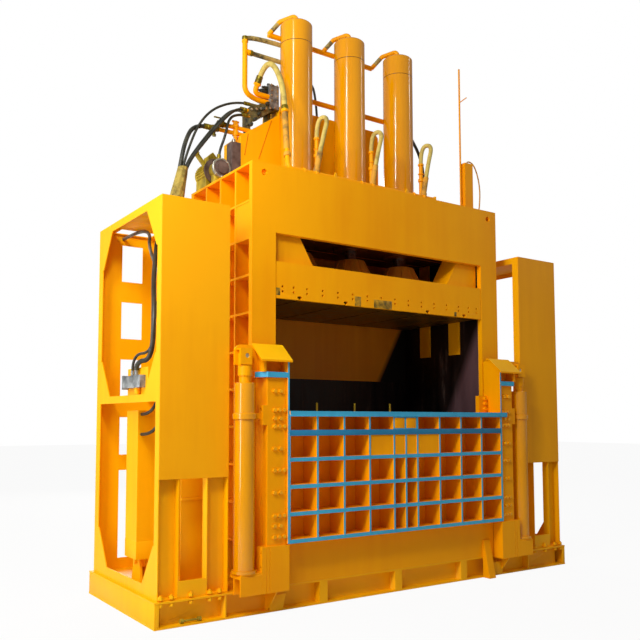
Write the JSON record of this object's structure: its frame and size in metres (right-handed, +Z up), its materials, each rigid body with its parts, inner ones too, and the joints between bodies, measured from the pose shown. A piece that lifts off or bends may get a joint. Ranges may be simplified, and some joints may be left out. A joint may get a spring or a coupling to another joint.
{
  "type": "recycling baler",
  "caption": "Vertical hydraulic baling press with a cylinder-driven platen, deep chamber, lifting grid gate, open side towers and a deck-mounted oil tank.",
  "frame": {"origin": "middle of the base skid's footprint, on the floor", "axes": "+Z up, the gate faces -Y, +X to the right of someone facing the gate"},
  "size_m": [4.488, 1.544, 5.2595],
  "materials": {
    "machine_paint": "gloss",
    "gate_paint": "gloss, front edges pale blue",
    "wear_steel": "dark, worn",
    "rod_chrome": "polished",
    "black_rubber": "matt",
    "grey_rubber": "matt",
    "sheathed_rubber": "woven sheath",
    "bare_iron": "satin"
  },
  "bodies": {
    "frame": {"base_skid": "machine_paint", "tie_pin": "wear_steel", "front_portal": "machine_paint", "second_portal": "machine_paint", "fourth_portal": "machine_paint", "rear_portal": "machine_paint", "middle_portal_right": "machine_paint", "middle_portal_left": "machine_paint", "crosshead": "machine_paint", "side_wall_right": "machine_paint", "side_wall_left": "machine_paint", "rear_wall": "machine_paint", "chamber_liners": "wear_steel", "chamber_floor": "wear_steel", "front_sill": "machine_paint", "platen_guides": "machine_paint", "press_cylinder_left": "machine_paint", "press_cylinder_middle": "machine_paint", "press_cylinder_right": "machine_paint", "switch_post": "machine_paint", "gate_cylinder_left": "machine_paint", "gate_cylinder_right": "machine_paint", "cylinder_bracket_left": "machine_paint", "cylinder_bracket_right": "machine_paint", "guide_post_left": "machine_paint", "guide_post_right": "machine_paint", "frame_bolts": "machine_paint", "tower_left": "machine_paint", "tower_right": "machine_paint", "tower_cover_left": "machine_paint", "tower_cover_right": "machine_paint", "tower_column_left": "machine_paint", "tower_column_right": "machine_paint", "tower_valve": "bare_iron", "oil_tank": "machine_paint", "valve_manifold": "bare_iron", "pump_motor": "bare_iron", "oil_pump": "bare_iron", "filter_block": "bare_iron", "steel_pipes": "machine_paint", "cylinder_hoses": "sheathed_rubber", "arch_hose": "sheathed_rubber", "control_hoses": "black_rubber", "tower_hoses": "grey_rubber"},
    "platen_assembly": {"platen": "machine_paint", "platen_face": "wear_steel", "rod_cone_left": "machine_paint", "rod_cone_middle": "machine_paint", "rod_cone_right": "machine_paint", "press_rod_left": "rod_chrome", "press_rod_middle": "rod_chrome", "press_rod_right": "rod_chrome", "press_pistons": "wear_steel", "travel_rod": "machine_paint"},
    "gate": {"gate_panel": "gate_paint", "gate_side_plates": "gate_paint", "lift_arm_left": "machine_paint", "lift_arm_right": "machine_paint", "lift_pins": "rod_chrome", "gate_rods": "machine_paint"}
  },
  "joints": [
    {"name": "platen_slide", "type": "slide", "parent": "frame", "child": "platen_assembly", "axis": [0, 0, -1], "range_m": [0, 1.4]},
    {"name": "gate_slide", "type": "slide", "parent": "frame", "child": "gate", "axis": [0, 0, 1], "range_m": [0, 1.05]}
  ]
}
